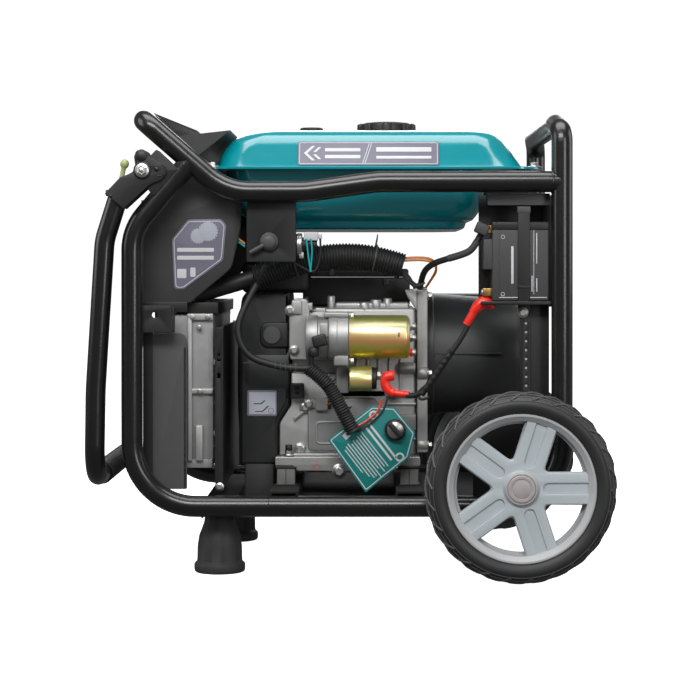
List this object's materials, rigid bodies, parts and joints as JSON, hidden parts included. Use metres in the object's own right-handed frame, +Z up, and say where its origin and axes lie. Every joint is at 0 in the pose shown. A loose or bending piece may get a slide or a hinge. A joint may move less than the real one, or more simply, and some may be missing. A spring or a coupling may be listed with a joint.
{
  "type": "portable generator",
  "caption": "Open-frame portable inverter generator with tube frame, teal fuel tank, electric start engine, battery, two wheels and a folding handle.",
  "frame": {"origin": "on the floor under the middle of the machine's outline", "axes": "+X to the wheel end, +Y away from the service side with the starter and battery, +Z up"},
  "size_m": [0.794, 0.674, 0.703],
  "materials": {
    "frame_black": "gloss black powder coat",
    "rubber_black": "matt moulded rubber",
    "tyre_black": "solid rubber tyre",
    "wheel_grey": "moulded blue-grey plastic",
    "tank_teal": "gloss teal enamel",
    "plastic_black": "satin black moulded plastic",
    "sheet_grey": "satin dark grey powder coat",
    "engine_aluminium": "as-cast aluminium",
    "steel": "zinc plated steel",
    "cast_iron": "cast",
    "exhaust_steel": "heat stained sheet",
    "plated_gold": "yellow passivated plating",
    "signal_red": "soft red insulation",
    "knob_green": "yellow-green moulded knob"
  },
  "bodies": {
    "root": {"adapter_plate": "engine_aluminium", "air_box": "plastic_black", "alternator_cover": "plastic_black", "axle": "steel", "battery": "plastic_black", "battery_tray": "sheet_grey", "control_housing": "sheet_grey", "control_panel": "plastic_black", "crankcase": "engine_aluminium", "cross_members": "frame_black", "cylinder": "engine_aluminium", "display_window": "plastic_black", "end_loop": "frame_black", "fan_shroud": "plastic_black", "fixed_brackets": "frame_black", "fuel_gauge": "plastic_black", "harness_conduit": "plastic_black", "inverter_housing": "engine_aluminium", "muffler": "exhaust_steel", "negative_cable": "plastic_black", "oil_level_unit": "plastic_black", "panel_covers": "plastic_black", "panel_crossbar": "frame_black", "pivot_bolts": "steel", "positive_cable": "signal_red", "power_sockets": "plastic_black", "rubber_feet": "rubber_black", "rubber_mounts": "rubber_black", "service_tag": "tank_teal", "side_frame_far": "frame_black", "side_frame_near": "frame_black", "side_guards": "sheet_grey", "starter_motor": "plated_gold", "starter_nose": "engine_aluminium", "stator": "steel", "tank_bolts": "steel", "tank_lower": "tank_teal", "tank_upper": "tank_teal", "top_rails": "frame_black", "valve_bracket": "sheet_grey", "valve_cover": "engine_aluminium", "wiring_loom": "plastic_black"},
    "wheel_near": {"tyre_near": "tyre_black", "wheel_rim_near": "wheel_grey"},
    "wheel_far": {"tyre_far": "tyre_black", "wheel_rim_far": "wheel_grey"},
    "handle": {"handle_tube": "frame_black", "handle_grip": "rubber_black", "handle_brackets": "frame_black"},
    "handle_release": {"release_pins": "knob_green"},
    "cap": {"fuel_cap": "plastic_black"},
    "valve_lever": {"fuel_valve_lever": "steel"},
    "oil_dipstick": {"dipstick": "plastic_black"},
    "breaker": {"circuit_breaker": "signal_red"},
    "switch": {"engine_switch": "plastic_black"},
    "lid_1": {"socket_lid_1": "plastic_black"},
    "lid_2": {"socket_lid_2": "plastic_black"},
    "crank": {"crankshaft": "steel", "flywheel": "cast_iron", "rotor": "steel"}
  },
  "joints": [
    {"name": "wheel_near_spin", "type": "hinge", "parent": "root", "child": "wheel_near", "pos_m": [0.255, -0.303, 0.142], "axis": [0, 1, 0], "continuous": true},
    {"name": "wheel_far_spin", "type": "hinge", "parent": "root", "child": "wheel_far", "pos_m": [0.255, 0.303, 0.142], "axis": [0, 1, 0], "continuous": true},
    {"name": "handle_fold", "type": "hinge", "parent": "root", "child": "handle", "pos_m": [-0.305, 0, 0.609], "axis": [0, 1, 0], "range_deg": [0, 95]},
    {"name": "release_pull", "type": "slide", "parent": "handle", "child": "handle_release", "axis": [0.2118, 0, 0.9773], "range_m": [0, 0.008], "stiffness_N_per_m": 600},
    {"name": "fuel_cap_turn", "type": "hinge", "parent": "root", "child": "cap", "pos_m": [0.061, -0.03, 0.69], "axis": [0, 0, 1], "range_deg": [0, 90]},
    {"name": "fuel_valve_turn", "type": "hinge", "parent": "root", "child": "valve_lever", "pos_m": [-0.1175, -0.225, 0.503], "axis": [0, 1, 0], "range_deg": [0, 90]},
    {"name": "dipstick_turn", "type": "hinge", "parent": "root", "child": "oil_dipstick", "pos_m": [0.073, -0.19, 0.217], "axis": [0, 1, 0], "range_deg": [0, 180]},
    {"name": "breaker_push", "type": "slide", "parent": "root", "child": "breaker", "axis": [0.8186, 0, -0.5744], "range_m": [0, 0.003], "stiffness_N_per_m": 400},
    {"name": "switch_turn", "type": "hinge", "parent": "root", "child": "switch", "pos_m": [-0.2812, 0.02, 0.53525], "axis": [-0.8186, 0, 0.5744], "range_deg": [0, 90]},
    {"name": "socket_lid_1_open", "type": "hinge", "parent": "root", "child": "lid_1", "pos_m": [-0.303, -0.1, 0.484], "axis": [0, 1, 0], "range_deg": [0, 100], "stiffness_Nm_per_rad": 0.02},
    {"name": "socket_lid_2_open", "type": "hinge", "parent": "root", "child": "lid_2", "pos_m": [-0.303, -0.03, 0.484], "axis": [0, 1, 0], "range_deg": [0, 100], "stiffness_Nm_per_rad": 0.02},
    {"name": "crank_spin", "type": "hinge", "parent": "root", "child": "crank", "pos_m": [0, 0, 0.31], "axis": [1, 0, 0], "continuous": true}
  ]
}
